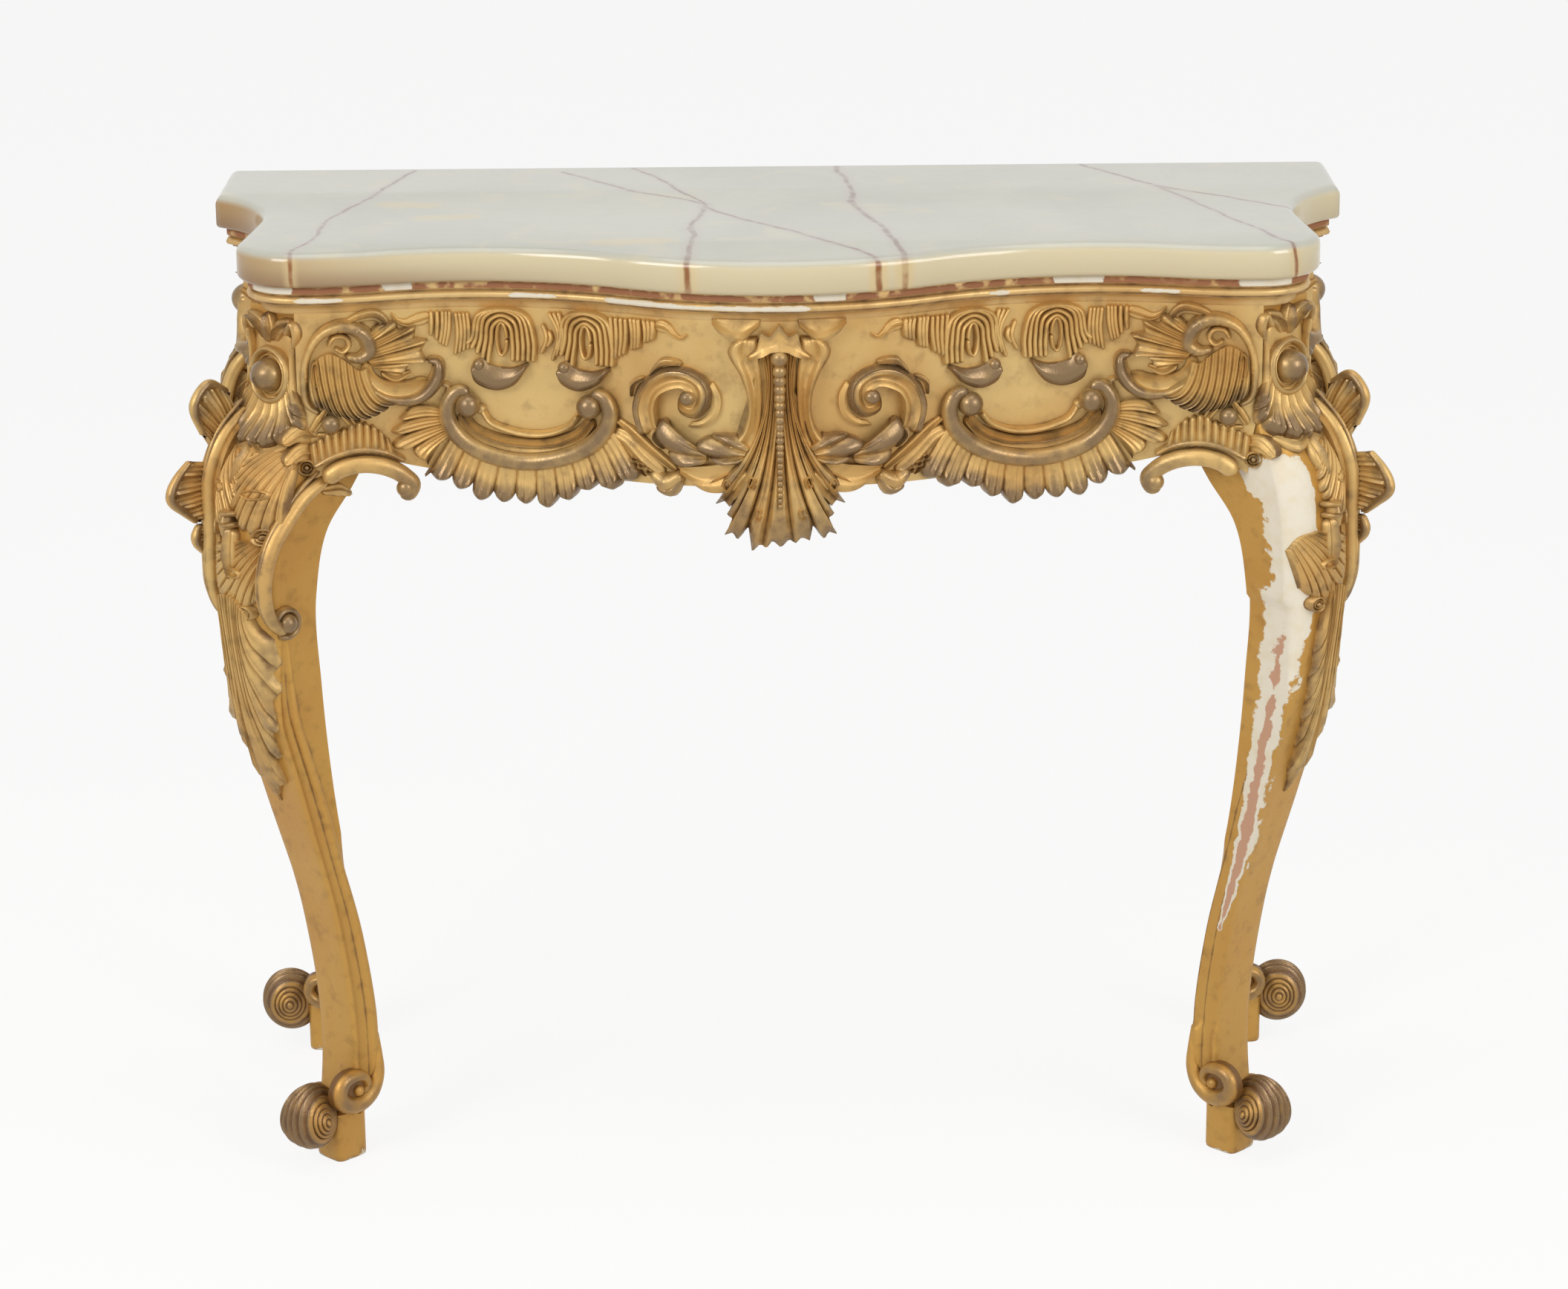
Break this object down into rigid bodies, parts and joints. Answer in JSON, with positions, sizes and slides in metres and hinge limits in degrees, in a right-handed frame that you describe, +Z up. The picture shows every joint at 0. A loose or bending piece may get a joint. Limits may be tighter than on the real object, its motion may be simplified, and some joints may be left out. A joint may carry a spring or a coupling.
{
  "type": "pier table",
  "caption": "Rococo-revival pier table: serpentine onyx slab on a carved giltwood apron with shells, scrolls and cabriole legs; stands against a wall.",
  "frame": {"origin": "on the floor, under the middle of the table's box", "axes": "+X to the right seen from the front, +Y to the wall, +Z up"},
  "size_m": [1.144, 0.434, 0.92],
  "materials": {
    "onyx": "polished pale green onyx with red-brown veins, opaque",
    "gilt_frame": "old gold leaf over bole and gesso, worn",
    "gilt_carving": "old gold leaf on carved gesso, rubbed on the high points",
    "bare_wood": "bare, aged",
    "screw_steel": "dull"
  },
  "bodies": {
    "root": {"back_cornice": "bare_wood", "back_left_acanthus": "gilt_carving", "back_left_cartouche": "gilt_carving", "back_left_knee_scrolls": "gilt_carving", "back_left_knee_shell": "gilt_carving", "back_left_leg": "gilt_frame", "back_left_toe_scroll": "gilt_carving", "back_rail": "bare_wood", "back_right_acanthus": "gilt_carving", "back_right_cartouche": "gilt_carving", "back_right_knee_scrolls": "gilt_carving", "back_right_knee_shell": "gilt_carving", "back_right_leg": "gilt_frame", "back_right_toe_scroll": "gilt_carving", "bearer_screws": "screw_steel", "cartouche_bosses": "gilt_carving", "centre_husk_string": "gilt_carving", "centre_leaf": "gilt_carving", "corner_blocks": "bare_wood", "foot_blocks": "gilt_carving", "foot_pegs": "bare_wood", "foot_volutes": "gilt_carving", "front_cornice": "gilt_frame", "front_left_acanthus": "gilt_carving", "front_left_cartouche": "gilt_carving", "front_left_knee_scrolls": "gilt_carving", "front_left_knee_shell": "gilt_carving", "front_left_leg": "gilt_frame", "front_left_toe_scroll": "gilt_carving", "front_rail": "gilt_frame", "front_right_acanthus": "gilt_carving", "front_right_cartouche": "gilt_carving", "front_right_knee_scrolls": "gilt_carving", "front_right_knee_shell": "gilt_carving", "front_right_leg": "gilt_frame", "front_right_toe_scroll": "gilt_carving", "left_acanthus_scroll": "gilt_carving", "left_arch_scroll": "gilt_carving", "left_bearer": "bare_wood", "left_c_scroll": "gilt_carving", "left_corner_shell": "gilt_carving", "left_cornice": "gilt_frame", "left_fringe": "gilt_carving", "left_rail": "gilt_frame", "left_scroll_strap": "gilt_carving", "left_shell_fan": "gilt_carving", "left_side_shell": "gilt_carving", "onyx_top": "onyx", "rail_dowels": "bare_wood", "right_acanthus_scroll": "gilt_carving", "right_arch_scroll": "gilt_carving", "right_bearer": "bare_wood", "right_c_scroll": "gilt_carving", "right_corner_shell": "gilt_carving", "right_cornice": "gilt_frame", "right_fringe": "gilt_carving", "right_rail": "gilt_frame", "right_scroll_strap": "gilt_carving", "right_shell_fan": "gilt_carving", "right_side_shell": "gilt_carving"}
  },
  "joints": []
}
